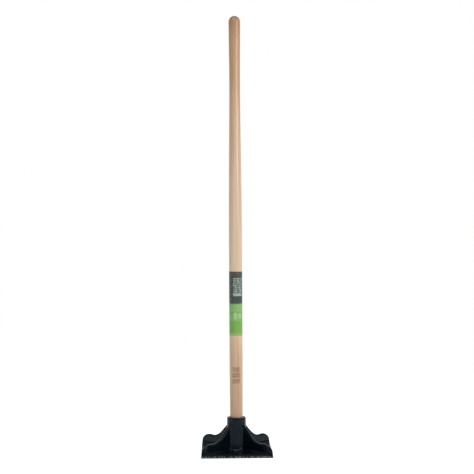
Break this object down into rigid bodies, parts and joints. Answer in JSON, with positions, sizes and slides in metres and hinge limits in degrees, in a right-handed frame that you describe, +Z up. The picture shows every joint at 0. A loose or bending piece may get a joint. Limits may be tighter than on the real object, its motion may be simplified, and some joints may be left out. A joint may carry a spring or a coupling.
{
  "type": "earth rammer",
  "caption": "Hand tamper for compacting soil and paving: a square cast iron head with diagonal ribs and a central socket on a long shaped hardwood handle.",
  "frame": {"origin": "centre of the sole, on the ground", "axes": "+Z runs up the handle from the sole; -Y is the front; the plate's sides lie along X and Y"},
  "size_m": [0.1998, 0.1998, 1.238],
  "materials": {
    "enamelled_iron": "glossy blue-black enamel over a sand-cast surface",
    "handle_wood": "turned and sanded straight-grained hardwood under clear satin lacquer",
    "screw_steel": "zinc-plated steel",
    "dark_label_film": null,
    "green_label_film": "satin film, two greens"
  },
  "bodies": {
    "root": {"tamper_head": "enamelled_iron", "handle": "handle_wood", "retaining_screw": "screw_steel", "dark_label": "dark_label_film", "green_label": "green_label_film"}
  },
  "joints": []
}
